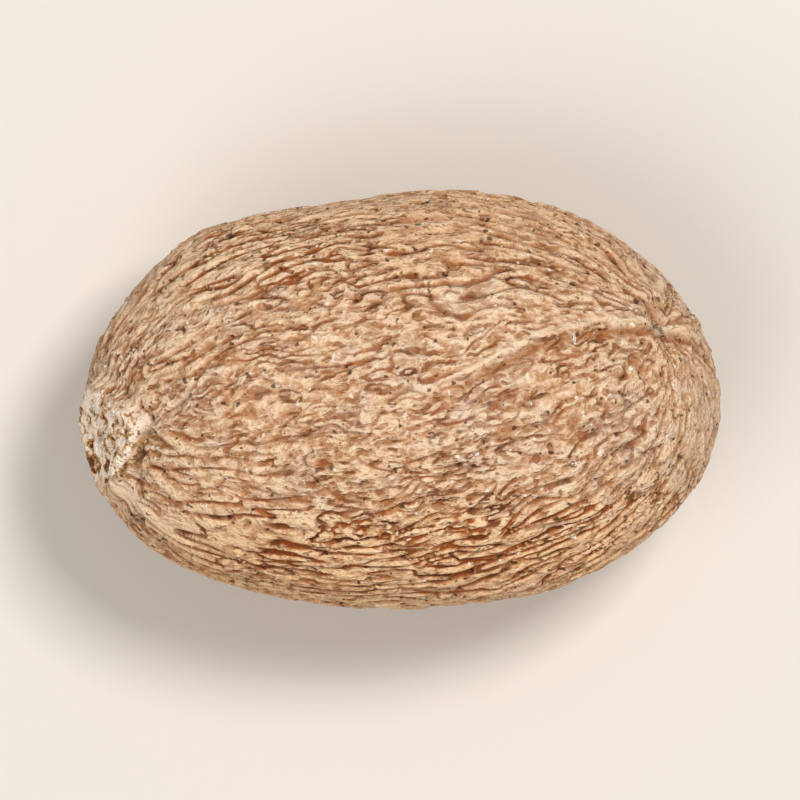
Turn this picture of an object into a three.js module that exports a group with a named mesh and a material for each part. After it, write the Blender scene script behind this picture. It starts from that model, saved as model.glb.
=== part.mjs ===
// A whole nutmeg, the dried kernel of the seed, lying on its side. Millimetres, +Z up.
// Its long axis is X: the hilum, the pale scar of the stalk, is at the -X end and looks a little upwards,
// and the chalaza, the small dimple where the veins meet again, is high on the +X end.
// The origin is on the floor, under the middle of the nut.
import * as THREE from "three";
import { mergeVertices } from "three/addons/utils/BufferGeometryUtils.js";

// Driving sizes
const LENGTH = 28.0;
const WIDTH = 18.2;
const THICKNESS = 17.4;
const FLAT_DEPTH = 0.3; // how much the small flat spot underneath takes off the thickness

// Form of the plain ovoid, as shares of its girth along the axis
const EGG = 0.02; // the far end is this much stouter than the hilum end
const FULLNESS = 0.055; // both shoulders are this much fuller than an ellipse's
const END_DROOP = 0.35; // how far both ends lean towards -Y
const DROOP_POWER = 4; // how late towards the ends the lean sets in

// Dents and swellings that give the outline its uneven curve: direction, reach and height
const SWELLINGS = [
  { at: [-0.2, 0.98, 0.1], reach: 3.4, height: -0.3 },
  { at: [-0.62, 0.78, 0.1], reach: 2.6, height: 0.3 },
  { at: [0.78, 0.6, 0.2], reach: 3.0, height: -0.22 },
  { at: [-0.8, -0.6, 0.1], reach: 2.6, height: 0.12 },
  { at: [0.45, -0.88, -0.1], reach: 3.6, height: 0.2 },
  { at: [0.1, -0.2, 0.97], reach: 4.2, height: -0.16 },
  { at: [-0.3, 0.4, -0.86], reach: 4.0, height: -0.25 },
  { at: [0.4, 0.75, -0.53], reach: 3.6, height: 0.25 },
];
const LUMPS = 6;
const LUMP_HEIGHT = 0.07;
const LUMP_WAVES = 4.2; // in radians across half the nut

// The net of raised veins, whose meshes are long cells laid from the hilum to the chalaza
const CELLS = 190;
const CELL_JITTER_ALONG = 2.52; // in steps of the spiral that the cells lie on
const CELL_JITTER_ROUND = 0.42; // in radians
const LAST_CELL = 0.995; // how near to either tip a cell may lie
const CELL_WIDTH = 1.0;
const CELL_LENGTH = 3.1;
const VEIN_HEIGHT = 0.12;
const VEIN_SPREAD = 0.75; // half-width of a vein, in cell units
const FURROW_DEPTH = 0.05; // the furrow along each side of a vein
const FURROW_PLACE = 1.35;
const FURROW_SPREAD = 0.55;
const SLANT = 0.5; // the weight of a vein's run across the way against its run along it
const WANDER = 0.55; // how far the veins stray from straight
const WANDER_WAVES = [1.15, 1.7, 0.9]; // in radians for each millimetre
const POLE_GAP = 1e-4; // keeps the vein way finite at both poles

// The hilum: a raised crusty rim round a shallow pit, with a groove outside it
const HILUM = new THREE.Vector3(-0.945, -0.1, 0.31).normalize();
const HILUM_RADIUS = 2.1;
const HILUM_RIM = 0.24;
const HILUM_RIM_SPREAD = 0.5;
const HILUM_PIT = 0.12;
const HILUM_GROOVE = 0.2;
const HILUM_GROOVE_GAP = 0.8;
const HILUM_BOTTOM = 0.3; // where the pit's bottom ends, as a share of the radius
const HILUM_LOBES = [
  { waves: 3, share: 0.14, turn: 3.67 },
  { waves: 5, share: 0.05, turn: 2.1 },
];
const HILUM_CLEAR = [0.8, 1.3]; // where the veins set in round it, in radii

// The chalaza, and the raphe, the bold vein that runs to it along the top
const CHALAZA = new THREE.Vector3(0.83, 0.34, 0.44).normalize();
const CHALAZA_RADIUS = 1.05;
const CHALAZA_DEPTH = 0.38;
const CHALAZA_RIM = 0.16;
const CHALAZA_RIM_PLACE = 1.5; // in radii
const CHALAZA_RIM_SPREAD = 0.6;
const CHALAZA_CLEAR = [0.4, 1.6]; // where the veins set in round it, in radii
const RAPHE_HEIGHT = 0.17;
const RAPHE_SPREAD = 0.4;
const RAPHE_FURROW = 0.12;
const RAPHE_FURROW_PLACE = 0.7; // towards -Y
const RAPHE_BOW = 2.8; // how far it bows towards -Y in the middle of the nut
const RAPHE_BOW_REACH = 5.5;
const RAPHE_FADE = 0.35; // how far down the sides it fades out, as the cosine from the top
const RAPHE_RISE = [-0.15, 0.35]; // where along the nut it rises, in half lengths

const SEED = 41;
const SUBDIVISIONS = 23; // each side of the icosahedron is cut into one more than this
const WELD = 1e-5; // the ball's corners nearer than this are one
const FLOOR_FADE = 0.5; // the height above the flat spot in which the relief sets in

const HALF = new THREE.Vector3(LENGTH / 2, WIDTH / 2, THICKNESS / 2);
const GOLDEN_ANGLE = Math.PI * (3 - Math.sqrt(5));

// Numbers from 0 to 1 in a fixed order, from a linear congruential rule.
const RULE_FACTOR = 1664525;
const RULE_STEP = 1013904223;
const RULE_RANGE = 2 ** 32;

function makeRandom(seed) {
  let state = seed >>> 0;
  return () => {
    state = (Math.imul(state, RULE_FACTOR) + RULE_STEP) >>> 0;
    return state / RULE_RANGE;
  };
}

function bell(distance, spread) {
  return Math.exp(-((distance / spread) ** 2));
}

function smoothStep(low, high, value) {
  const t = Math.min(1, Math.max(0, (value - low) / (high - low)));
  return t * t * (3 - 2 * t);
}

// The plain ovoid: an ellipsoid whose girth changes along X and whose ends lean.
function ovoid(direction) {
  const s = direction.x;
  const girth = 1 + EGG * s + FULLNESS * s * s;
  return new THREE.Vector3(
    HALF.x * s,
    HALF.y * direction.y * girth - END_DROOP * s ** DROOP_POWER,
    HALF.z * direction.z * girth,
  );
}

function outward(direction) {
  return direction.clone().divide(HALF).normalize();
}

// The way the veins run: out of the hilum and into the chalaza, as a flow from a source to a sink.
function veinWay(direction, normal) {
  const nearHilum = direction.dot(HILUM);
  const nearChalaza = direction.dot(CHALAZA);
  const away = direction.clone().multiplyScalar(nearHilum).sub(HILUM);
  const towards = CHALAZA.clone().addScaledVector(direction, -nearChalaza);
  away.divideScalar(1 + POLE_GAP - nearHilum);
  towards.divideScalar(1 + POLE_GAP - nearChalaza);
  const way = away.add(towards).multiply(HALF);
  return way.addScaledVector(normal, -way.dot(normal)).normalize();
}

// One point in the middle of each cell of the net, spread by the golden angle and then jittered.
function cellCentres(random) {
  return Array.from({ length: CELLS }, (_, i) => {
    const along = -1 + (2 * (i + 0.5 + CELL_JITTER_ALONG * (random() - 0.5))) / CELLS;
    const s = Math.min(LAST_CELL, Math.max(-LAST_CELL, along));
    const angle = i * GOLDEN_ANGLE + CELL_JITTER_ROUND * (random() - 0.5);
    const ring = Math.sqrt(1 - s * s);
    return ovoid(new THREE.Vector3(s, ring * Math.cos(angle), ring * Math.sin(angle)));
  });
}

function lumpWaves(random) {
  return Array.from({ length: LUMPS }, () => {
    const way = new THREE.Vector3(random() - 0.5, random() - 0.5, random() - 0.5).normalize();
    return { way: way.multiplyScalar(LUMP_WAVES), phase: 2 * Math.PI * random() };
  });
}

const random = makeRandom(SEED);
const centres = cellCentres(random);
const waves = lumpWaves(random);

function swelling(direction, point) {
  const broad = SWELLINGS.reduce((sum, one) => {
    const middle = ovoid(new THREE.Vector3(...one.at).normalize());
    return sum + one.height * bell(point.distanceTo(middle), one.reach);
  }, 0);
  return waves.reduce((sum, w) => sum + LUMP_HEIGHT * Math.sin(direction.dot(w.way) + w.phase), broad);
}

// Height of the vein net: a vein runs where the two nearest cell centres are equally far,
// measured so that a cell is longer along the vein way than across it. Veins across the way are fainter.
function veinNet(point, normal, way) {
  const across = new THREE.Vector3().crossVectors(normal, way);
  const [a, b, c] = WANDER_WAVES;
  const strayed = point
    .clone()
    .addScaledVector(across, WANDER * Math.sin(a * point.x + b * point.z + c * point.y))
    .addScaledVector(way, WANDER * Math.sin(b * point.y - a * point.z + c * point.x));
  let nearest = { far: Infinity };
  let second = { far: Infinity };
  for (const centre of centres) {
    const gap = strayed.clone().sub(centre);
    const aside = Math.hypot(gap.dot(across), gap.dot(normal));
    const far = Math.hypot(gap.dot(way) / CELL_LENGTH, aside / CELL_WIDTH);
    if (far < nearest.far) {
      second = nearest;
      nearest = { far, centre };
    } else if (far < second.far) {
      second = { far, centre };
    }
  }
  const edge = second.far - nearest.far;
  const between = second.centre.clone().sub(nearest.centre);
  const sideways = Math.abs(between.dot(across));
  const strength = sideways / Math.hypot(sideways, SLANT * between.dot(way));
  const furrow = FURROW_DEPTH * bell(edge - FURROW_PLACE, FURROW_SPREAD);
  return strength * (VEIN_HEIGHT * bell(edge, VEIN_SPREAD) - furrow);
}

// Height of the hilum at a distance from its middle; its rim isn't quite round.
function hilum(point, middle) {
  const gap = point.clone().sub(middle);
  const angle = Math.atan2(gap.z, gap.y);
  const radius = HILUM_LOBES.reduce(
    (sum, lobe) => sum + HILUM_RADIUS * lobe.share * Math.sin(lobe.waves * angle + lobe.turn),
    HILUM_RADIUS,
  );
  const far = gap.length();
  const rim = HILUM_RIM * bell(far - radius, HILUM_RIM_SPREAD);
  const pit = HILUM_PIT * (1 - smoothStep(HILUM_BOTTOM * radius, radius, far));
  const groove = HILUM_GROOVE * bell(far - radius - HILUM_GROOVE_GAP, HILUM_RIM_SPREAD);
  return rim - pit - groove;
}

function chalaza(point, middle) {
  const far = point.distanceTo(middle);
  const rim = CHALAZA_RIM * bell(far - CHALAZA_RIM_PLACE * CHALAZA_RADIUS, CHALAZA_RIM_SPREAD);
  return rim - CHALAZA_DEPTH * bell(far, CHALAZA_RADIUS);
}

// The raphe runs beside the plane through the hilum, the chalaza and the middle, in a shallow bow.
const raphePlane = new THREE.Vector3().crossVectors(CHALAZA, HILUM).normalize();
const rapheTop = HILUM.clone().add(CHALAZA).normalize();

function raphe(direction, point) {
  const upper = smoothStep(0, RAPHE_FADE, direction.dot(rapheTop));
  const reach = smoothStep(...RAPHE_RISE, point.x / HALF.x);
  const side = HALF.y * direction.dot(raphePlane) - RAPHE_BOW * bell(point.x, RAPHE_BOW_REACH);
  const crest = RAPHE_HEIGHT * bell(side, RAPHE_SPREAD);
  const furrow = RAPHE_FURROW * bell(side - RAPHE_FURROW_PLACE, RAPHE_SPREAD);
  return upper * reach * (crest - furrow);
}

const hilumMiddle = ovoid(HILUM);
const chalazaMiddle = ovoid(CHALAZA);
const floor = -HALF.z + FLAT_DEPTH;

// The skin of the nut in one direction from its middle, with the flat spot cut off below.
function skinPoint(direction) {
  const plain = ovoid(direction);
  const normal = outward(direction);
  const way = veinWay(direction, normal);
  const clearOfHilum = smoothStep(...HILUM_CLEAR, plain.distanceTo(hilumMiddle) / HILUM_RADIUS);
  const clearOfChalaza = smoothStep(...CHALAZA_CLEAR, plain.distanceTo(chalazaMiddle) / CHALAZA_RADIUS);
  const clearOfFloor = smoothStep(floor, floor + FLOOR_FADE, plain.z);
  const lines = (veinNet(plain, normal, way) + raphe(direction, plain)) * clearOfHilum * clearOfChalaza;
  const ends = hilum(plain, hilumMiddle) + chalaza(plain, chalazaMiddle);
  const height = swelling(direction, plain) + lines + ends;
  const point = plain.addScaledVector(normal, height * clearOfFloor);
  point.z = Math.max(point.z, floor);
  return point;
}

function nutmegGeometry() {
  const ball = new THREE.IcosahedronGeometry(1, SUBDIVISIONS);
  ball.deleteAttribute("normal");
  ball.deleteAttribute("uv");
  const geometry = mergeVertices(ball, WELD);
  const position = geometry.getAttribute("position");
  for (let i = 0; i < position.count; i++) {
    const direction = new THREE.Vector3().fromBufferAttribute(position, i).normalize();
    position.setXYZ(i, ...skinPoint(direction));
  }
  geometry.computeBoundingBox();
  const { min, max } = geometry.boundingBox;
  geometry.translate(-(min.x + max.x) / 2, -(min.y + max.y) / 2, -min.z);
  geometry.computeVertexNormals();
  return geometry;
}

const kernel = new THREE.MeshStandardMaterial({ color: 0xc79e7a, roughness: 0.75, metalness: 0 });
const nutmeg = new THREE.Mesh(nutmegGeometry(), kernel);
nutmeg.name = "nutmeg";

const part = new THREE.Group();
part.add(nutmeg);

export default part;
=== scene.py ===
"""A whole nutmeg lying on its side on a pale floor, seen from straight above.

The nut is one closed skin over a cube's six grids. Its broad form, veins, hilum and chalaza follow the
same rules as the solid; fine wrinkles, slits, pits and crust are worked out on top, in millimetres.
"""

import math
from typing import NamedTuple

import bpy
import numpy as np
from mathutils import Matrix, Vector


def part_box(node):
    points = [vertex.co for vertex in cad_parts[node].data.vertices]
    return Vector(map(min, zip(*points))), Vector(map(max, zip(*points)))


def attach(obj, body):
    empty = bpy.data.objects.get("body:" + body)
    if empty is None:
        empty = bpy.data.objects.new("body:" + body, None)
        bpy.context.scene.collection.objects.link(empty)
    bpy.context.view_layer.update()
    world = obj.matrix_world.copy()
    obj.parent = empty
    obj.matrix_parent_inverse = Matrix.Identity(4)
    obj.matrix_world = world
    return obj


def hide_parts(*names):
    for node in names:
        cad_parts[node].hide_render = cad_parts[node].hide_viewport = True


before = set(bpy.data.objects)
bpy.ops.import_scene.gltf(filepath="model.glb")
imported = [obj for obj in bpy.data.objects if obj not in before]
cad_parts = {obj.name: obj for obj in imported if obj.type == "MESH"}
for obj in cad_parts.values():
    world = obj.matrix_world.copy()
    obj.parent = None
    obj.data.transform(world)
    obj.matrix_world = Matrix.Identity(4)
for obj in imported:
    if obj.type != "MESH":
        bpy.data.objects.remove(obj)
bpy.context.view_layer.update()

nut_low, nut_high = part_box("nutmeg")

MM = 0.001


def unit(v):
    return v / np.linalg.norm(v, axis=-1, keepdims=True)


class Wrinkle(NamedTuple):
    """Width across the veins in millimetres, length for each width, and height in millimetres."""

    width: float
    stretch: float
    height: float


# Broad form, the same as the solid's
HALF = np.array([14.0, 9.1, 8.7])
FLAT_DEPTH = 0.3
EGG = 0.02
FULLNESS = 0.055
END_DROOP = 0.35
SWELLINGS = (
    # direction, reach, height
    ((-0.2, 0.98, 0.1), 3.4, -0.3),
    ((-0.62, 0.78, 0.1), 2.6, 0.3),
    ((0.78, 0.6, 0.2), 3.0, -0.22),
    ((-0.8, -0.6, 0.1), 2.6, 0.12),
    ((0.45, -0.88, -0.1), 3.6, 0.2),
    ((0.1, -0.2, 0.97), 4.2, -0.16),
    ((-0.3, 0.4, -0.86), 4.0, -0.25),
    ((0.4, 0.75, -0.53), 3.6, 0.25),
)
LUMPS = 6
LUMP_HEIGHT = 0.07
LUMP_WAVES = 4.2
SEED = 41

# The net of raised veins, the same as the solid's
CELLS = 190
CELL_JITTER = 0.42
CELL_WIDTH = 1.0
CELL_LENGTH = 3.1
VEIN_HEIGHT = 0.12
VEIN_SPREAD = 0.75
FURROW_DEPTH = 0.05
FURROW_PLACE = 1.35
FURROW_SPREAD = 0.55
WANDER = 0.55
WANDER_WAVES = (1.15, 1.7, 0.9)

# Hilum, chalaza and raphe, the same as the solid's
HILUM = unit(np.array([-0.945, -0.1, 0.31]))
HILUM_RADIUS = 2.1
HILUM_LOBES = ((0.14, 3, 3.67), (0.05, 5, 2.1))  # share of the radius, number of lobes, phase
HILUM_RIM = 0.24
HILUM_RIM_SPREAD = 0.5
HILUM_PIT = 0.12
HILUM_GROOVE = 0.2
HILUM_GROOVE_GAP = 0.8
CHALAZA = unit(np.array([0.83, 0.34, 0.44]))
CHALAZA_RADIUS = 1.05
CHALAZA_DEPTH = 0.38
CHALAZA_RIM = 0.16
CHALAZA_RIM_PLACE = 1.5  # in radii
CHALAZA_RIM_SPREAD = 0.6
RAPHE_HEIGHT = 0.17
RAPHE_SPREAD = 0.4
RAPHE_FURROW = 0.12
RAPHE_FURROW_PLACE = 0.7
RAPHE_BOW = 2.8
RAPHE_BOW_REACH = 5.5
RAPHE_FADE = 0.35
RAPHE_RISE = (-0.15, 0.35)

# Masks of the raised lines, for colour: how wide a crest is, and where the shade beside it lies
NET_CREST = 0.3 * VEIN_SPREAD
NET_SHADE_PLACE = 0.8
NET_SHADE_SPREAD = 0.3
RAPHE_CREST = 0.2
RAPHE_SHADE_PLACE = 0.55

# Fine relief that only the skin has
GRID = 128  # quads along each edge of the cube that the skin is spread from
FLUTE = Wrinkle(width=0.54, stretch=8.0, height=0.2)
WORM = Wrinkle(width=0.42, stretch=2.5, height=0.16)
CRACK = Wrinkle(width=1.2, stretch=5.0, height=0.1)
CRACK_HALF = 0.11
WORM_SWAY = 0.27  # how far the wrinkles wander from straight
FLUTE_SWAY = 0.6
ACROSS_FADE = 1.6  # how soon a furrow fades where it turns across the veins
RIDGE = 0.26  # from a furrow's bottom to the top of the ridge beside it
RIDGE_STAND = 0.4  # how far ridges stand above the skin, as a share of the wrinkles' height
FURROW_SINK = (0.3, 0.8)  # how far below its ridges any furrow goes, and how much more one along the veins
BOLDNESS = 0.55  # how much higher the wrinkles are where they are bold
LEAST_SLOPE = 0.4
FARTHEST = 0.5  # past this distance from a furrow nothing changes
SCALE_SHIFT = 37.0  # sets the noise of one scale of the skin apart from the next
PIT_SPACING = 0.8
PIT_RADIUS = 0.15
PIT_DEPTH = 0.1
CRUST_HEIGHT = 0.24
HILUM_RIDGE_START = (-12.5, -2.9)
HILUM_RIDGE_WAY = (0.644, 0.765)  # towards the far end and towards the near side
HILUM_RIDGE_BEND = 0.036
HILUM_RIDGE_SPREAD = 0.3
HILUM_RIDGE_IN = (-0.6, 0.5)  # where it fades in and out along its way
HILUM_RIDGE_OUT = (3.0, 6.5)
HILUM_RIDGE_HEIGHT = 0.16
TRENCH_PLACE = 1.36  # of the groove beside the hilum, painted dark as shade, in radii
TRENCH_SPREAD = 0.13
TRENCH_DEPTH = 0.12
TRENCH_MIDDLE = -1.8  # across the nut, and how far it reaches to either side
TRENCH_REACH = 1.1
TIP = np.array([13.4, -0.6, 3.2])  # the middle of the smooth, pale far end
TIP_REACH = np.array([2.0, 4.2, 4.2])
RIDGE_WEAR = 0.75  # how smooth the hilum's ridge, the far end and the raphe's crest are worn
TIP_WEAR = 0.7
RAPHE_WEAR = 0.75
WEAR_SMOOTHS = 0.75  # how much of the wrinkles full wear and full crust take away
CRUST_SMOOTHS = 0.85


def bell(distance, spread):
    """1 at no distance, falling as a normal curve with that spread."""
    return np.exp(-((distance / spread) ** 2))


def smooth_step(low, high, value):
    """0 below low, 1 above high, and a smooth S between."""
    t = np.clip((value - low) / (high - low), 0, 1)
    return t * t * (3 - 2 * t)


def dot(a, b):
    return np.sum(a * b, axis=-1)


def random_numbers(seed):
    """Numbers from 0 to 1 in a fixed order, from the solid's linear congruential rule."""
    state = seed
    while True:
        state = (state * 1664525 + 1013904223) % 2**32
        yield state / 2**32


def ovoid(d):
    """The plain nut in direction d: an ellipsoid whose girth changes along X and whose ends lean."""
    s = d[..., 0]
    girth = 1 + EGG * s + FULLNESS * s * s
    return np.stack(
        [HALF[0] * s, HALF[1] * d[..., 1] * girth - END_DROOP * s**4, HALF[2] * d[..., 2] * girth],
        axis=-1,
    )


def vein_way(d, normal):
    """Unit way of the veins at d: a flow out of the hilum and into the chalaza, laid along the skin."""
    near_hilum = dot(d, HILUM)[:, None]
    near_chalaza = dot(d, CHALAZA)[:, None]
    away = (d * near_hilum - HILUM) / (1.0001 - near_hilum)
    towards = (CHALAZA - d * near_chalaza) / (1.0001 - near_chalaza)
    way = (away + towards) * HALF
    return unit(way - dot(way, normal)[:, None] * normal)


def cell_centres(draw):
    """One point inside each mesh of the net: a golden-angle spiral along X, jittered."""
    golden = math.pi * (3 - math.sqrt(5))
    rows = []
    for i in range(CELLS):
        s = -1 + 2 * (i + 0.5 + CELL_JITTER * 6 * (next(draw) - 0.5)) / CELLS
        s = min(0.995, max(-0.995, s))
        angle = i * golden + CELL_JITTER * (next(draw) - 0.5)
        ring = math.sqrt(1 - s * s)
        rows.append((s, ring * math.cos(angle), ring * math.sin(angle)))
    return ovoid(np.array(rows))


def swelling(d, point, draw):
    """Broad dents and swellings, each a bell round its middle, and seeded sine lumps."""
    height = np.zeros(len(d))
    for at, reach, high in SWELLINGS:
        middle = ovoid(unit(np.array(at)))
        height += high * bell(np.linalg.norm(point - middle, axis=1), reach)
    for _ in range(LUMPS):
        way = unit(np.array([next(draw) - 0.5 for _ in range(3)])) * LUMP_WAVES
        phase = 2 * math.pi * next(draw)
        height += LUMP_HEIGHT * np.sin(d @ way + phase)
    return height


def vein_net(point, normal, way, centres):
    """Height of the net, its crest mask and the mask of the shade beside the crests.

    A vein runs where the two nearest cell centres are equally far, measured so that a cell is
    longer along the vein way than across it. Veins across the way are fainter.
    """
    across = np.cross(normal, way)
    a, b, c = WANDER_WAVES
    x, y, z = point.T
    strayed = point + across * (WANDER * np.sin(a * x + b * z + c * y))[:, None]
    strayed = strayed + way * (WANDER * np.sin(b * y - a * z + c * x))[:, None]
    best = np.full(len(point), np.inf)
    second = np.full(len(point), np.inf)
    first_at = np.zeros(len(point), int)
    second_at = np.zeros(len(point), int)
    for i, centre in enumerate(centres):
        gap = strayed - centre
        far = (dot(gap, way) / CELL_LENGTH) ** 2
        far += (dot(gap, across) ** 2 + dot(gap, normal) ** 2) / CELL_WIDTH**2
        nearer = far < best
        between = ~nearer & (far < second)
        second = np.where(nearer, best, np.where(between, far, second))
        second_at = np.where(nearer, first_at, np.where(between, i, second_at))
        best = np.where(nearer, far, best)
        first_at = np.where(nearer, i, first_at)
    edge = np.sqrt(second) - np.sqrt(best)
    apart = centres[second_at] - centres[first_at]
    sideways = np.abs(dot(apart, across))
    strength = sideways / np.hypot(sideways, dot(apart, way) / 2)
    furrow = bell(edge - FURROW_PLACE, FURROW_SPREAD)
    height = strength * (VEIN_HEIGHT * bell(edge, VEIN_SPREAD) - FURROW_DEPTH * furrow)
    return height, strength * bell(edge, NET_CREST), strength * bell(edge - NET_SHADE_PLACE, NET_SHADE_SPREAD)


def hilum_relief(point):
    """Height of the hilum and how far a point is from its middle, as a share of its uneven radius."""
    gap = point - ovoid(HILUM)
    angle = np.arctan2(gap[:, 2], gap[:, 1])
    uneven = 1
    for share, lobes, phase in HILUM_LOBES:
        uneven = uneven + share * np.sin(lobes * angle + phase)
    radius = HILUM_RADIUS * uneven
    far = np.linalg.norm(gap, axis=1)
    rim = HILUM_RIM * bell(far - radius, HILUM_RIM_SPREAD)
    pit = HILUM_PIT * (1 - smooth_step(0.3 * radius, radius, far))
    groove = HILUM_GROOVE * bell(far - radius - HILUM_GROOVE_GAP, HILUM_RIM_SPREAD)
    return rim - pit - groove, far / radius


def hilum_ridge(point, normal):
    """The smooth ridge that leaves the hilum's near side and runs on along the flank, as a mask.

    Seen from above it follows a shallow parabola, and it fades in and out along it.
    """
    x = point[:, 0] - HILUM_RIDGE_START[0]
    y = point[:, 1] - HILUM_RIDGE_START[1]
    ahead, nearer = HILUM_RIDGE_WAY
    along = ahead * x - nearer * y
    side = nearer * x + ahead * y - HILUM_RIDGE_BEND * along**2
    reach = smooth_step(*HILUM_RIDGE_IN, along) * (1 - smooth_step(*HILUM_RIDGE_OUT, along))
    return reach * bell(side, HILUM_RIDGE_SPREAD) * smooth_step(-0.1, 0.15, normal[:, 2])


def hilum_trench(point, normal, scar_share):
    """The groove on the near side of the hilum, seen from above: a mask round its uneven edge, which deepens
    it and paints it dark as shade.
    """
    edge = scar_share + 0.1 * noise(point * 0.9, salt=510) - TRENCH_PLACE
    trench = np.minimum(1, 1.3 * bell(edge, TRENCH_SPREAD))
    near_middle = bell(point[:, 1] - TRENCH_MIDDLE, TRENCH_REACH)
    return trench * (near_middle * smooth_step(0.0, 0.4, normal[:, 2]))


def hilum_crust(point, scar_share, grain):
    """Mask of the crumbly crust: the hilum with a ragged edge, drawn in on the near side and upwards."""
    edge = scar_share + 0.26 * noise(point * 0.7, salt=510) + 0.12 * grain
    edge += 0.35 * smooth_step(-2.2, -3.6, point[:, 1]) - 0.16 * smooth_step(2.0, 4.5, point[:, 2])
    return 1 - smooth_step(0.95, 1.25, edge)


def chalaza_relief(point):
    """Height of the chalaza, a dimple in a low ring, and the distance from its middle."""
    far = np.linalg.norm(point - ovoid(CHALAZA), axis=1)
    ring = CHALAZA_RIM * bell(far - CHALAZA_RIM_PLACE * CHALAZA_RADIUS, CHALAZA_RIM_SPREAD)
    return ring - CHALAZA_DEPTH * bell(far, CHALAZA_RADIUS), far


def raphe_relief(d, point):
    """Height, crest and shade of the bold vein that bows beside the plane of hilum and chalaza."""
    upper = smooth_step(0, RAPHE_FADE, d @ unit(HILUM + CHALAZA))
    reach = upper * smooth_step(*RAPHE_RISE, point[:, 0] / HALF[0])
    side = HALF[1] * (d @ unit(np.cross(CHALAZA, HILUM))) - RAPHE_BOW * bell(point[:, 0], RAPHE_BOW_REACH)
    furrow = bell(side - RAPHE_FURROW_PLACE, RAPHE_SPREAD)
    height = reach * (RAPHE_HEIGHT * bell(side, RAPHE_SPREAD) - RAPHE_FURROW * furrow)
    return height, reach * bell(side, RAPHE_CREST), reach * bell(side - RAPHE_SHADE_PLACE, RAPHE_CREST)


def hashed(cell, salt):
    """A number from 0 to 1 for each whole-number cell, mixed from its three indices and a salt."""
    h = cell[..., 0] * 374761393 + cell[..., 1] * 668265263 + cell[..., 2] * 1440662683 + salt * 974634777
    h &= 0xFFFFFFFF
    h = ((h ^ (h >> 13)) * 1274126177) & 0xFFFFFFFF
    h = ((h ^ (h >> 15)) * 1103515245) & 0xFFFFFFFF
    return (h ^ (h >> 16)) / 2**32


def noise(p, salt):
    """Gradient noise, about -1 to 1: slopes at the eight corners of each unit cell, blended smoothly."""
    base = np.floor(p).astype(np.int64)
    f = p - base
    w = f * f * f * (f * (f * 6 - 15) + 10)
    total = np.zeros(len(p))
    for corner in np.ndindex(2, 2, 2):
        cell = base + corner
        slope = np.stack([hashed(cell, salt + 17 * k) for k in range(3)], axis=-1) - 0.5
        share = np.prod(np.where(corner, w, 1 - w), axis=1)
        total += share * dot(unit(slope), f - corner)
    return 1.6 * total


def wander(point, rate, salt):
    """Three noises, one for each coordinate, as a way to stray from a place."""
    return np.stack([noise(point * rate + 9 * k, salt + k) for k in range(3)], axis=-1)


class SkinMap(NamedTuple):
    """Coordinates that follow the veins at two scales, the share of the even one, and the way round."""

    even: np.ndarray
    odd: np.ndarray
    share: np.ndarray
    round_way: np.ndarray

    def moved(self, way):
        return self._replace(even=self.even + way, odd=self.odd + way)


def skin_map(d):
    """Millimetre coordinates that follow the veins, for noise whose width stays even.

    The ball is flattened from the chalaza, so that the hilum is the middle. The logarithm of the radius
    then runs along the veins and the angle round them, which is wrapped into a ring. Veins crowd together
    near both ends, so the coordinates come at two scales, an even and an odd power of a half, and the
    share of the even one: it is whole where that power fits the crowding and none where the other fits.
    Small additions keep both ends finite.
    """
    east = unit(np.cross(CHALAZA, [0.0, 0.0, 1.0]))
    north = np.cross(CHALAZA, east)
    spread = 1.00001 - d @ CHALAZA
    hilum_spread = 1.00001 - HILUM @ CHALAZA
    u = d @ east / spread - HILUM @ east / hilum_spread
    v = d @ north / spread - HILUM @ north / hilum_spread
    radius = np.hypot(u, v) + 1e-4
    crowding = np.log2(1 / (spread * radius))
    place = np.stack([HALF[0] * np.log(radius), HALF[1] * u / radius, HALF[1] * v / radius], axis=-1)
    even = 2 * np.round(crowding / 2)
    odd = 2 * np.floor(crowding / 2) + 1
    return SkinMap(
        even=place * 0.5 ** even[:, None] + SCALE_SHIFT * even[:, None],
        odd=place * 0.5 ** odd[:, None] + SCALE_SHIFT * odd[:, None],
        share=0.5 + 0.5 * np.cos(math.pi * crowding),
        round_way=np.stack([np.zeros_like(u), -v / radius, u / radius], axis=-1),
    )


def vein_noise(skin, width, stretch, salt):
    """Noise of the given width across the veins, stretched along them."""
    size = np.array([width * stretch, width, width])
    mixed = skin.share * noise(skin.even / size, salt) + (1 - skin.share) * noise(skin.odd / size, salt)
    return mixed / np.sqrt(skin.share**2 + (1 - skin.share) ** 2)


def vein_slopes(skin, wrinkle, salt):
    """A wrinkle's noise, with its rise for each millimetre along the veins and round the nut."""
    small = 0.03
    width, stretch, _ = wrinkle
    value = vein_noise(skin, width, stretch, salt)
    along = vein_noise(skin.moved([small, 0, 0]), width, stretch, salt)
    around = vein_noise(skin.moved(small * skin.round_way), width, stretch, salt)
    return np.stack([value, (along - value) / small, (around - value) / small])


def off_line(slopes):
    """How far a point is from the nearest zero line of a noise in millimetres, signed, up to a limit.

    It is the value over its slope. The least slope keeps flat places, such as saddles, from flickering.
    """
    value, along, around = slopes
    return np.clip(value / np.sqrt(along**2 + around**2 + LEAST_SLOPE**2), -FARTHEST, FARTHEST)


def pits(point, salt):
    """Small round pits: one seeded centre in each cubic cell, which dents the skin where it is near.

    A pit's radius is 0.45 to 1.2 of the plain one, mostly near the smaller end.
    """
    p = point / PIT_SPACING
    base = np.floor(p).astype(np.int64)
    deepest = np.zeros(len(p))
    for shift in np.ndindex(3, 3, 3):
        cell = base + np.array(shift) - 1
        centre = cell + np.stack([hashed(cell, salt + 5 * k) for k in range(3)], axis=-1)
        size = PIT_RADIUS * (0.45 + 0.75 * hashed(cell, salt + 91) ** 2)
        far = np.linalg.norm(p - centre, axis=1) * PIT_SPACING
        deepest = np.maximum(deepest, bell(far, size) * size / PIT_RADIUS)
    return deepest


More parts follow.
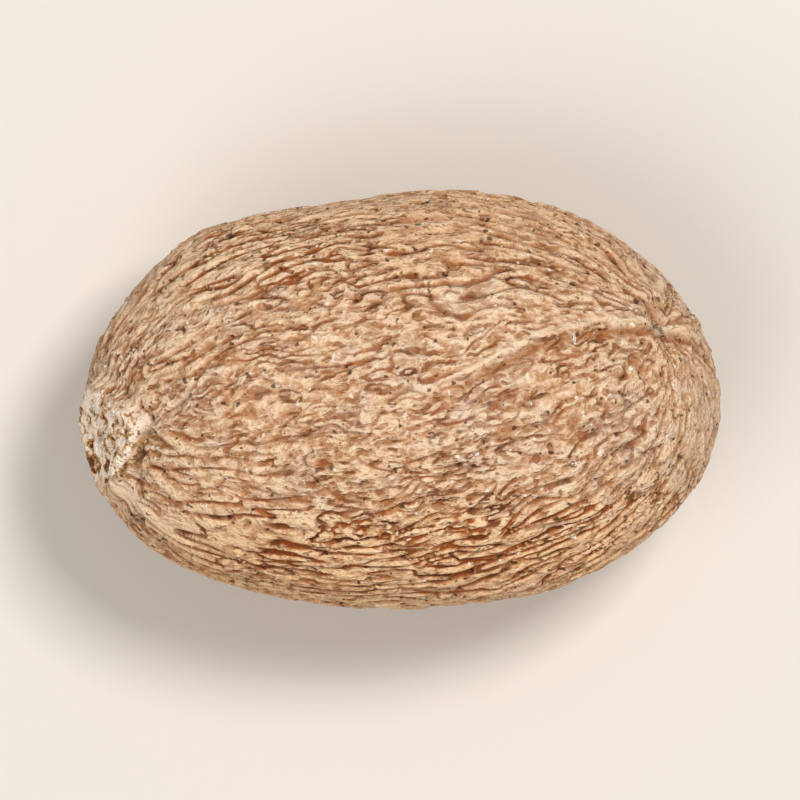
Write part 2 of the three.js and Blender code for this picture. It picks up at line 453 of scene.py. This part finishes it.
def cube_ball(n):
    """Directions and quads of a ball spread from a cube: six grids of n by n, evenly spaced in angle."""
    i, j = np.meshgrid(np.arange(n + 1), np.arange(n + 1), indexing="ij")
    sheets = []
    for axis in range(3):
        for end in (0, n):
            lattice = np.zeros((n + 1, n + 1, 3), int)
            lattice[..., axis] = end
            lattice[..., (axis + 1) % 3] = i if end else j
            lattice[..., (axis + 2) % 3] = j if end else i
            sheets.append(lattice)
    lattice = np.array(sheets)
    names = lattice @ [1, n + 1, (n + 1) ** 2]
    _, first, index = np.unique(names, return_index=True, return_inverse=True)
    index = index.reshape(names.shape)
    corners = [index[:, :-1, :-1], index[:, 1:, :-1], index[:, 1:, 1:], index[:, :-1, 1:]]
    quads = np.stack(corners, axis=-1).reshape(-1, 4)
    places = lattice.reshape(-1, 3)[first]
    return unit(np.tan((2 * places / n - 1) * math.pi / 4)), quads


def fluted_share(point):
    """Where the wrinkles are long flutes: away from the top line, at both ends, and less underneath."""
    round_axis = np.abs(np.arctan2(point[:, 1], point[:, 2]))
    ends = 0.3 * smooth_step(-4, -10, point[:, 0]) + 0.25 * smooth_step(7, 12, point[:, 0])
    side = round_axis + 0.5 * noise(point * 0.25, salt=307) + ends
    return smooth_step(0.3, 0.7, side) * (1 - 0.7 * smooth_step(2.0, 2.6, side))


def flank_masks(point):
    """Where furrows are bold, on the upper near flank and the far left one, and where the flanks are, which
    get painted shade: wholly on the near flank, less on the far one.
    """
    bold = np.maximum(
        smooth_step(-3.4, -5.6, point[:, 1]),
        smooth_step(4.0, 6.5, point[:, 1]) * smooth_step(1.0, -4.0, point[:, 0]),
    )
    bold *= smooth_step(0.0, 4.0, point[:, 2]) * (0.8 + 0.4 * noise(point * 0.45, salt=541))
    near, far = smooth_step(-3.0, -6.5, point[:, 1]), smooth_step(4.0, 7.5, point[:, 1])
    return bold, np.maximum(near, 0.45 * far)


def fine_relief(point, skin):
    """Wrinkles over the whole skin: their height, and the masks that their colours follow.

    Worms wind over the top; flutes run long and parallel over both sides and the ends. A furrow lies
    along a zero line of their noise, between ridges round as pillows. It fades where it runs across the
    veins, and its depth varies from place to place. Wide shallow cracks cross in patches.
    """
    bent = skin.moved(FLUTE_SWAY * wander(point, 0.3, salt=303))
    curled = bent.moved(WORM_SWAY * wander(point, 0.9, salt=300))
    fluted = fluted_share(point)
    # flank is the share of painted shade on the sides, which makes them darker and warmer
    bold, flank = flank_masks(point)
    depth = smooth_step(-0.6, 0.5, vein_noise(bent, 1.0, 1.8, salt=310) + 0.5 * noise(point * 0.3, salt=312))

    slopes = fluted * vein_slopes(bent, FLUTE, salt=320) + (1 - fluted) * vein_slopes(curled, WORM, salt=330)
    wave = off_line(slopes)
    run = slopes[2] ** 2 / (slopes[2] ** 2 + (ACROSS_FADE * slopes[1]) ** 2 + 1e-6)
    high = fluted * FLUTE.height + (1 - fluted) * WORM.height
    high = high * (0.55 + 0.45 * depth) * (1 + BOLDNESS * bold)
    least, more = FURROW_SINK
    sunk = (1 - np.minimum(np.abs(wave), RIDGE) / RIDGE) ** 2
    height = high * (RIDGE_STAND - (least + more * run) * sunk)

    crack = off_line(vein_slopes(bent, CRACK, salt=350))
    cracked = smooth_step(0.15, 0.45, vein_noise(bent, 1.6, 2.5, salt=360) + 0.15 * fluted)
    height -= CRACK.height * cracked * bell(crack, CRACK_HALF)
    return height, {
        "wave": wave,
        "run": run,
        "depth": depth,
        "bold": bold,
        "flank": flank,
        "crack": crack,
        "cracked": cracked,
    }


def nutmeg_skin():
    """Vertices in metres, quads, colour masks and vein coordinates of the whole nut.

    The solid's heights are added to the plain nut along its normal, each fading near the hilum, the
    chalaza or the flat spot, and the fine relief on top. Crust and worn places smooth the wrinkles.
    """
    d, quads = cube_ball(GRID)
    plain = ovoid(d)
    normal = unit(d / HALF)
    way = vein_way(d, normal)
    draw = random_numbers(SEED)
    centres = cell_centres(draw)
    broad = swelling(d, plain, draw)
    net, net_crest, net_shade = vein_net(plain, normal, way, centres)
    raphe, raphe_crest, raphe_shade = raphe_relief(d, plain)
    scar, scar_share = hilum_relief(plain)
    dimple, chalaza_far = chalaza_relief(plain)

    off_hilum = smooth_step(0.8, 1.3, np.linalg.norm(plain - ovoid(HILUM), axis=1) / HILUM_RADIUS)
    off_chalaza = smooth_step(0.4, 1.6, chalaza_far / CHALAZA_RADIUS)
    floor = -HALF[2] + FLAT_DEPTH
    off_floor = smooth_step(floor, floor + 0.5, plain[:, 2])
    lines = (net + raphe) * off_hilum * off_chalaza
    coarse = (broad + lines + scar + dimple) * off_floor
    solid_like = plain + normal * coarse[:, None]

    skin = skin_map(d)
    wrinkles, waves = fine_relief(plain, skin)
    hole = pits(plain, salt=500)
    grain = noise(plain * 1.3, salt=520) + 0.7 * noise(plain * 2.7, salt=530)
    crust = hilum_crust(plain, scar_share, grain)
    ridge = hilum_ridge(plain, normal)
    trench = hilum_trench(plain, normal, scar_share)
    tip = bell(np.linalg.norm((plain - TIP) / TIP_REACH, axis=1), 1.0)
    worn = 1 - (1 - RIDGE_WEAR * ridge) * (1 - TIP_WEAR * tip) * (1 - RAPHE_WEAR * raphe_crest)
    crumbs = CRUST_HEIGHT * grain * crust * (0.6 + 0.4 * smooth_step(-13.4, -12.4, plain[:, 0]))
    fine = wrinkles * (1 - CRUST_SMOOTHS * crust) * (1 - WEAR_SMOOTHS * worn) - PIT_DEPTH * hole
    fine += crumbs - TRENCH_DEPTH * trench
    fine += HILUM_RIDGE_HEIGHT * ridge
    fine = fine * smooth_step(floor + 0.1, floor + 0.9, plain[:, 2])

    vertices = solid_like + normal * fine[:, None]
    vertices[:, 2] = np.maximum(vertices[:, 2], floor)
    shift = np.array([*((solid_like.min(0) + solid_like.max(0)) / 2)[:2], floor])
    foot = np.array([*((nut_low + nut_high) / 2)[:2], nut_low[2]])
    masks = {
        # furrow: painted shade, brown beside the crests of the net and the raphe
        "furrow": np.clip(0.2 * net_shade + raphe_shade, 0, 1) * (1 - crust),
        "crest": np.clip(0.25 * net_crest + 0.9 * raphe_crest + 1.2 * ridge, 0, 1) * (1 - crust),
        "groove": trench,
        "pit": hole,
        "crust": crust,
        "grain": grain,
        "worn": 1 - (1 - crust) * (1 - worn),
        "even_share": skin.share,
        **waves,
    }
    places = {"along_even": skin.even * MM, "along_odd": skin.odd * MM}
    return (vertices - shift) * MM + foot, quads, masks, places


def make_piece(name, vertices, quads, masks, places):
    """A mesh object at the origin from its arrays, smooth shaded, with its masks as point attributes."""
    mesh = bpy.data.meshes.new(name)
    mesh.vertices.add(len(vertices))
    mesh.vertices.foreach_set("co", vertices.astype(np.float32).ravel())
    mesh.loops.add(quads.size)
    mesh.loops.foreach_set("vertex_index", quads.astype(np.int32).ravel())
    mesh.polygons.add(len(quads))
    mesh.polygons.foreach_set("loop_start", np.arange(0, quads.size, 4, dtype=np.int32))
    mesh.update(calc_edges=True)
    mesh.polygons.foreach_set("use_smooth", np.ones(len(quads), bool))
    for mask, values in masks.items():
        kept = mesh.attributes.new(mask, "FLOAT", "POINT").data
        kept.foreach_set("value", values.astype(np.float32))
    for place, values in places.items():
        kept = mesh.attributes.new(place, "FLOAT_VECTOR", "POINT").data
        kept.foreach_set("vector", values.astype(np.float32).ravel())
    mesh.validate()
    piece = bpy.data.objects.new(name, mesh)
    bpy.context.scene.collection.objects.link(piece)
    return piece


def linear(red, green, blue):
    """An 8-bit screen colour as the linear colour that a shader takes."""
    share = [c / 255 for c in (red, green, blue)]
    return (*(c / 12.92 if c <= 0.04045 else ((c + 0.055) / 1.055) ** 2.4 for c in share), 1.0)


TAN = linear(212, 166, 122)
ROSE_TAN = linear(206, 155, 116)
BROWN = linear(192, 138, 90)
PALE = linear(251, 223, 188)
CHALK = linear(232, 214, 196)
# painted shade: a warm darkening multiplied over the flanks
FLANK_SHADE_TINT = linear(255, 241, 222)
GREY_LIME = linear(198, 170, 148)
FURROW_BROWN = linear(158, 95, 44)
SLIT_BROWN = linear(98, 48, 16)
RUST_BROWN = linear(148, 76, 20)
PIT_BROWN = linear(54, 33, 22)
# painted highlights: the tiny pale glints
GLINT = linear(252, 243, 228)
CRUST_CREAM = linear(255, 234, 210)
CRUST_TAN = linear(188, 136, 78)
# painted shade in the groove beside the hilum
GROOVE_SHADE_BROWN = linear(92, 60, 30)
FLOOR_PALE = linear(224, 217, 207)


class Shade:
    """Short ways to add and join shader nodes in one material's tree."""

    def __init__(self, tree):
        self.tree = tree

    def node(self, kind, **values):
        made = self.tree.nodes.new("ShaderNode" + kind)
        for name, value in values.items():
            setattr(made, name, value)
        return made

    def put(self, value, socket):
        if isinstance(value, bpy.types.NodeSocket):
            self.tree.links.new(value, socket)
        else:
            socket.default_value = value

    def attribute(self, name, output="Fac"):
        return self.node("Attribute", attribute_name=name).outputs[output]

    def mix(self, share, first, second, way="MIX"):
        """Two colours mixed; the node's colour sockets are inputs 6 and 7 and output 2."""
        made = self.node("Mix", data_type="RGBA", blend_type=way)
        self.put(share, made.inputs["Factor"])
        self.put(first, made.inputs[6])
        self.put(second, made.inputs[7])
        return made.outputs[2]

    def coated(self, ground, coats):
        """The ground with coats of colour laid over it in turn, each with its share."""
        for share, colour in coats:
            ground = self.mix(share, ground, colour)
        return ground

    def maths(self, operation, *values):
        made = self.node("Math", operation=operation)
        for value, socket in zip(values, made.inputs):
            self.put(value, socket)
        return made.outputs[0]

    def times(self, first, *others):
        for other in others:
            first = self.maths("MULTIPLY", first, other)
        return first

    def scaled(self, value, factor, plus):
        return self.maths("MULTIPLY_ADD", value, factor, plus)

    def between(self, value, low, high, out_low=0.0, out_high=1.0):
        """A smooth S from one output at low to the other at high; low may be the larger."""
        made = self.node("MapRange", interpolation_type="SMOOTHSTEP")
        self.put(value, made.inputs["Value"])
        made.inputs["From Min"].default_value = low
        made.inputs["From Max"].default_value = high
        made.inputs["To Min"].default_value = out_low
        made.inputs["To Max"].default_value = out_high
        return made.outputs["Result"]

    def noise(self, place, size, detail=2.0, shift=0.0, roughness=0.55, output="Fac"):
        """Noise whose features are about the given size in millimetres."""
        made = self.node("TexNoise")
        moved = self.node("VectorMath", operation="ADD")
        self.put(place, moved.inputs[0])
        moved.inputs[1].default_value = (shift * MM,) * 3
        self.put(moved.outputs[0], made.inputs["Vector"])
        made.inputs["Scale"].default_value = 1 / (size * MM)
        made.inputs["Detail"].default_value = detail
        made.inputs["Roughness"].default_value = roughness
        return made.outputs[output]

    def vein_noise(self, skin, width, stretch, detail, shift):
        """Noise of the given width in millimetres across the veins, stretched along them.

        It comes from the skin's two scales and the share of the even one, with the same contrast at
        every share.
        """
        even, odd, share = skin
        parts = []
        for place in (even, odd):
            squeezed = self.node("VectorMath", operation="MULTIPLY")
            self.put(place, squeezed.inputs[0])
            squeezed.inputs[1].default_value = (1 / stretch, 1, 1)
            parts.append(self.noise(squeezed.outputs[0], width, detail, shift))
        other = self.maths("SUBTRACT", 1.0, share)
        mixed = self.scaled(parts[0], share, self.times(parts[1], other))
        spread = self.scaled(share, share, self.times(other, other))
        middle = self.maths("SUBTRACT", mixed, 0.5)
        return self.maths("ADD", self.maths("DIVIDE", middle, self.maths("SQRT", spread)), 0.5)

    def swayed(self, place, sway, amount):
        """The place moved by up to about half the amount in millimetres, by a noise colour."""
        made = self.node("VectorMath", operation="MULTIPLY_ADD")
        self.put(sway, made.inputs[0])
        made.inputs[1].default_value = (amount * MM,) * 3
        self.put(place, made.inputs[2])
        return made.outputs[0]


def shell_material():
    """The dried shell: tan, rosy and grey ground, pale crests, orange-brown slits, dark pits and crust, with
    painted shade and painted glints.

    The relief's masks say where its furrows, ridges, cracks, pits, crust and trench are. Finer noises,
    most of them stretched along the veins, add ripples, dashes, threads and dust between them.
    """
    material = bpy.data.materials.new("nutmeg_shell")
    material.use_nodes = True
    shade = Shade(material.node_tree)
    shader = material.node_tree.nodes["Principled BSDF"]
    place = shade.node("TexCoord").outputs["Object"]
    sway = shade.noise(place, 0.8, detail=1.0, output="Color")
    skin = (
        shade.swayed(shade.attribute("along_even", "Vector"), sway, 0.7),
        shade.swayed(shade.attribute("along_odd", "Vector"), sway, 0.7),
        shade.attribute("even_share"),
    )
    names = ("furrow", "crest", "pit", "crust", "grain", "groove", "depth", "bold", "flank", "cracked")
    furrow, crest, pit, crust, grain, groove, depth, bold, flank, cracked = map(shade.attribute, names)
    fresh = shade.maths("SUBTRACT", 1.0, shade.attribute("worn"))
    off_wave = shade.maths("ABSOLUTE", shade.attribute("wave"))
    off_crack = shade.maths("ABSOLUTE", shade.attribute("crack"))

    # the relief's own furrows: wide and pale brown, narrow and dark, and here and there a full slit; partly
    # their own brown and partly painted shade in their bottoms
    running = shade.times(shade.between(shade.attribute("run"), 0.05, 0.75, 0.15, 1.0), fresh)
    off_edge = shade.scaled(bold, -0.045, off_wave)
    furrowed = shade.times(shade.between(off_edge, 0.14, 0.02), running)
    line = shade.times(shade.between(off_edge, 0.14, 0.0), depth, running)
    some = shade.vein_noise(skin, 0.9, stretch=1.5, detail=1.0, shift=3.0)
    some = shade.between(shade.scaled(bold, 0.15, some), 0.48, 0.62)
    slit = shade.times(shade.between(off_edge, 0.11, 0.04), some, running)
    crack = shade.times(shade.between(off_crack, 0.1, 0.0), cracked)
    ridge = shade.between(off_wave, 0.1, 0.22)

    # finer ripples, dashes and threads along the veins
    ripple = shade.vein_noise(skin, 0.3, stretch=2.8, detail=1.0, shift=23.0)
    dip = shade.times(shade.between(ripple, 0.5, 0.34), fresh)
    rise = shade.times(shade.between(ripple, 0.52, 0.66), fresh)
    dashes = shade.vein_noise(skin, 0.27, stretch=2.4, detail=1.0, shift=29.0)
    shallow = shade.times(shade.between(dashes, 0.43, 0.33), fresh)
    dash = shade.times(shade.between(dashes, 0.36, 0.27), fresh)
    threads = shade.vein_noise(skin, 0.14, stretch=3.0, detail=2.0, shift=5.0)

    # grains and patches that follow nothing, and glints that are painted highlights
    dust = shade.noise(place, 0.13, detail=2.0, shift=43.0, roughness=0.6)
    grit = shade.between(dust, 0.36, 0.56, 0.45, 1.0)
    specks = shade.noise(place, 0.36, detail=1.0, shift=7.0)
    dot = shade.between(specks, 0.32, 0.25)
    # painted highlights: glints where the speck noise is high
    glint = shade.between(specks, 0.69, 0.76)
    crumbs = shade.noise(place, 0.42, detail=3.0, shift=19.0, roughness=0.6)
    chalk = shade.noise(place, 0.7, detail=2.0, shift=53.0)
    rust = shade.between(shade.noise(place, 1.1, detail=1.0, shift=37.0), 0.42, 0.58)
    patches = shade.noise(place, 1.5, detail=2.0, shift=11.0)
    lime = shade.noise(place, 2.6, detail=3.0, shift=13.0)
    broad = shade.noise(place, 6.0, detail=2.0, shift=17.0)

    dark = shade.mix(rust, SLIT_BROWN, RUST_BROWN)
    ground = shade.mix(shade.between(patches, 0.4, 0.6), TAN, ROSE_TAN)
    shell = shade.coated(ground, (
        (shade.between(broad, 0.45, 0.7, 0.0, 0.18), BROWN),
        (shade.between(lime, 0.5, 0.66, 0.0, 0.55), GREY_LIME),
        (shade.times(ridge, shade.scaled(bold, 0.35, 0.4)), PALE),
        (shade.between(threads, 0.52, 0.72, 0.0, 0.4), PALE),
        (shade.between(threads, 0.46, 0.28, 0.0, 0.4), FURROW_BROWN),
        (shade.between(dust, 0.52, 0.66, 0.0, 0.42), PALE),
        (shade.between(dust, 0.47, 0.32, 0.0, 0.42), FURROW_BROWN),
        (shade.times(crest, 0.8), PALE),
        (shade.times(rise, 0.45), PALE),
        (shade.between(chalk, 0.54, 0.68, 0.0, 0.3), CHALK),
        (shade.times(dip, 0.52), FURROW_BROWN),
        (shade.times(shallow, 0.45), FURROW_BROWN),
        # partly the furrows' own brown and partly painted shade in their bottoms
        (shade.times(furrowed, shade.scaled(bold, 0.3, 0.33)), FURROW_BROWN),
        # painted shade beside the crests of the net and the raphe
        (shade.times(furrow, 0.8), FURROW_BROWN),
        # partly the furrows' own brown and partly painted shade in their bottoms
        (shade.times(line, shade.times(grit, shade.scaled(bold, 0.35, 0.46))), dark),
        (shade.times(slit, shade.scaled(bold, 0.2, 0.68)), dark),
        (shade.times(crack, shade.times(grit, 0.7)), dark),
        (shade.times(dash, 0.5), RUST_BROWN),
    ))
    # painted shade: the near flank, and less the far one, made darker and warmer
    shell = shade.mix(flank, shell, FLANK_SHADE_TINT, "MULTIPLY")

    crumbled = shade.scaled(grain, 0.12, crumbs)
    crusted = shade.mix(shade.between(crumbled, 0.53, 0.42), CRUST_CREAM, CRUST_TAN)
    crusted = shade.mix(shade.between(crumbled, 0.41, 0.33), crusted, SLIT_BROWN)
    # painted shade: the groove beside the hilum in dark brown, on its upper side
    trench = shade.between(shade.scaled(crumbs, 1.6, groove), 1.05, 1.65)
    shaded_groove = shade.mix(shade.between(crumbs, 0.46, 0.62), GROOVE_SHADE_BROWN, CRUST_TAN)
    colour = shade.coated(shell, (
        (crust, crusted),
        (shade.times(trench, 0.85), shaded_groove),
        # painted highlights
        (shade.times(glint, 0.7), GLINT),
        (shade.times(dot, 0.8), PIT_BROWN),
        (shade.between(pit, 0.25, 0.8, 0.0, 0.85), PIT_BROWN),
    ))
    shade.put(colour, shader.inputs["Base Color"])
    shade.put(shade.between(ridge, 0.0, 1.0, 0.75, 0.58), shader.inputs["Roughness"])
    shader.inputs["Specular IOR Level"].default_value = 0.2

    crumbly = shade.times(crumbs, shade.maths("MAXIMUM", crust, groove))
    height = 0.0
    for value, amount in (
        (threads, 1.5),
        (shallow, -0.6),
        (dash, -0.4),
        (line, -0.5),
        (ripple, 2.4),
        (dust, 1.2),
        (crack, -0.8),
        (dot, -0.5),
        (crumbly, 3.5),
    ):
        height = shade.scaled(value, amount, height)
    bump = shade.node("Bump")
    bump.inputs["Distance"].default_value = 0.08 * MM
    bump.inputs["Strength"].default_value = 1.0
    shade.put(height, bump.inputs["Height"])
    shade.put(bump.outputs["Normal"], shader.inputs["Normal"])
    return material


def floor_material():
    """Plain pale matt ground."""
    material = bpy.data.materials.new("pale_floor")
    material.use_nodes = True
    shader = material.node_tree.nodes["Principled BSDF"]
    shader.inputs["Base Color"].default_value = FLOOR_PALE
    shader.inputs["Roughness"].default_value = 0.9
    return material


def lay_floor():
    """A flat square sheet under the nut."""
    half = 0.6
    corners = [(-half, -half, 0), (half, -half, 0), (half, half, 0), (-half, half, 0)]
    mesh = bpy.data.meshes.new("floor")
    mesh.from_pydata(corners, [], [(0, 1, 2, 3)])
    floor = bpy.data.objects.new("floor", mesh)
    floor.data.materials.append(floor_material())
    bpy.context.scene.collection.objects.link(floor)


def soft_box(name, target, place, size, power, colour):
    """A square area light at a place, facing a target."""
    lamp = bpy.data.lights.new(name, "AREA")
    lamp.size = size
    lamp.energy = power
    lamp.color = colour
    box = bpy.data.objects.new(name, lamp)
    box.location = place
    way = target - box.location
    box.rotation_mode = "QUATERNION"
    box.rotation_quaternion = way.to_track_quat("-Z", "Y")
    bpy.context.scene.collection.objects.link(box)


def light_studio(target):
    """A small box high over the far right side, a larger weaker one opposite, and an even pale surround."""
    soft_box("key", target, place=(0.1, 0.09, 0.3), size=0.08, power=0.68, colour=(1.0, 0.985, 0.965))
    soft_box("fill", target, place=(-0.12, -0.12, 0.28), size=0.2, power=0.42, colour=(1.0, 0.985, 0.97))
    world = bpy.data.worlds.new("surround")
    bpy.context.scene.world = world
    world.use_nodes = True
    background = world.node_tree.nodes["Background"]
    background.inputs["Color"].default_value = (0.97, 0.98, 1.0, 1)
    background.inputs["Strength"].default_value = 0.36


def set_camera(target):
    """Straight above the nut, turned so that its axis rises a little to the right as in the photo."""
    away = 0.5
    seen_share = 0.8  # of the picture's width that the nut fills
    turned = -1.6  # degrees
    camera = bpy.data.cameras.new("camera")
    camera.lens = away * camera.sensor_width * seen_share / (nut_high[0] - nut_low[0])
    camera.clip_start = 0.01
    camera.clip_end = 10
    eye = bpy.data.objects.new("camera", camera)
    eye.location = target
    eye.location.z += away
    eye.rotation_euler = (0, 0, math.radians(turned))
    bpy.context.scene.collection.objects.link(eye)
    bpy.context.scene.camera = eye


middle = (nut_low + nut_high) / 2
set_camera(middle)
nutmeg = make_piece("nutmeg_skin", *nutmeg_skin())
nutmeg.data.materials.append(shell_material())
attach(nutmeg, "root")
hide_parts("nutmeg")
lay_floor()
light_studio(middle)
bpy.context.scene.view_settings.view_transform = "Standard"
